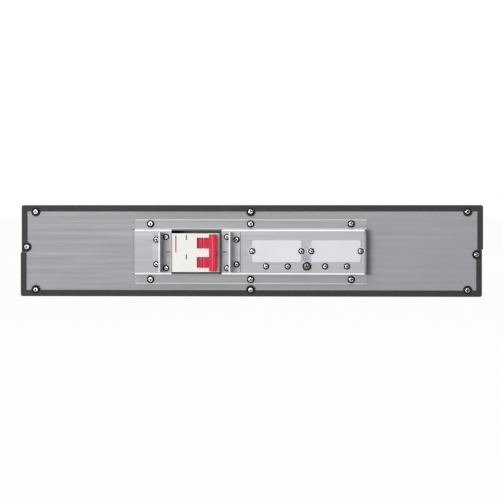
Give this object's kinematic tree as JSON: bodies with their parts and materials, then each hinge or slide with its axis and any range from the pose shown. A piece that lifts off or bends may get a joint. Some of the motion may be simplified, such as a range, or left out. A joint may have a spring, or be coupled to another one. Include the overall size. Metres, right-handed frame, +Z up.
{
  "type": "server rack battery",
  "caption": "Rack-mount external battery module: black steel case, grey rear panel with a guarded two-pole breaker, covered connector ports and an earth screw, snap-off front bezel.",
  "frame": {"origin": "centre of the case's underside, half-way between its rear edge and the bezel's face", "axes": "+Z up, +Y from the rear panel towards the front bezel, +X to the right when the rear panel is looked at"},
  "size_m": [0.438, 0.744, 0.0865],
  "materials": {
    "case_paint": "fine-textured black powder coat",
    "panel_steel": "satin grey, even",
    "plate_steel": "zinc-plated sheet with a fine lengthwise grain",
    "screw_steel": "bright zinc plate",
    "nut_steel": "plain zinc plate",
    "earth_steel": "dull nickel plate",
    "breaker_plastic": "satin moulded white",
    "toggle_red": "moulded red, slightly worn",
    "tie_bar_red": "moulded red",
    "contact_metal": "tin plate",
    "cover_white": "smooth pale plate",
    "connector_plastic": "fine moulded texture",
    "tray_steel": "galvanised sheet",
    "battery_case": "moulded",
    "battery_lid": "moulded",
    "red_insulation": "smooth insulation",
    "black_insulation": "smooth insulation",
    "foam": "closed-cell foam",
    "strap_webbing": "woven webbing",
    "bezel_plastic": "fine spark texture",
    "socket_rubber": "smooth"
  },
  "bodies": {
    "case": {"lower_shell": "case_paint", "upper_shell": "case_paint", "rear_panel": "panel_steel", "perimeter_screws": "screw_steel", "panel_nuts": "nut_steel", "seam_screws": "screw_steel", "seam_nuts": "nut_steel", "connector_plate": "plate_steel", "connector_plate_screws": "screw_steel", "connector_plate_nuts": "nut_steel", "breaker_pole_upper": "breaker_plastic", "breaker_pole_lower": "breaker_plastic", "breaker_rivets": "nut_steel", "breaker_terminals": "contact_metal", "breaker_screws": "screw_steel", "toggle_pin": "nut_steel", "guard_left": "plate_steel", "guard_right": "plate_steel", "guard_screws": "screw_steel", "guard_nuts": "nut_steel", "cover_left": "cover_white", "cover_right": "cover_white", "cover_screws": "screw_steel", "cover_nuts": "nut_steel", "connector_left": "connector_plastic", "connector_right": "connector_plastic", "connector_contacts": "contact_metal", "connector_screws": "screw_steel", "earth_screw": "earth_steel", "earth_washer": "earth_steel", "earth_nut": "nut_steel", "battery_tray_left": "tray_steel", "battery_tray_right": "tray_steel", "battery_blocks": "battery_case", "battery_lids": "battery_lid", "battery_terminals": "contact_metal", "block_links": "red_insulation", "hold_down_strips": "foam", "centre_rail": "tray_steel", "lead_positive": "red_insulation", "lead_negative": "black_insulation", "tray_link": "black_insulation", "breaker_leads": "black_insulation", "front_plate": "panel_steel", "front_plate_screws": "screw_steel", "tray_straps": "strap_webbing", "strap_screws": "screw_steel", "bezel_sockets": "socket_rubber"},
    "handle": {"toggle_upper": "toggle_red", "toggle_lower": "toggle_red", "handle_tie_bar": "tie_bar_red"},
    "bezel": {"bezel": "bezel_plastic"}
  },
  "joints": [
    {"name": "breaker_handle", "type": "hinge", "parent": "case", "child": "handle", "pos_m": [-0.0423, -0.3815, 0.04195], "axis": [0, 0, -1], "range_deg": [0, 84]},
    {"name": "bezel_pull", "type": "slide", "parent": "case", "child": "bezel", "axis": [0, 1, 0], "range_m": [0, 0.04]}
  ]
}
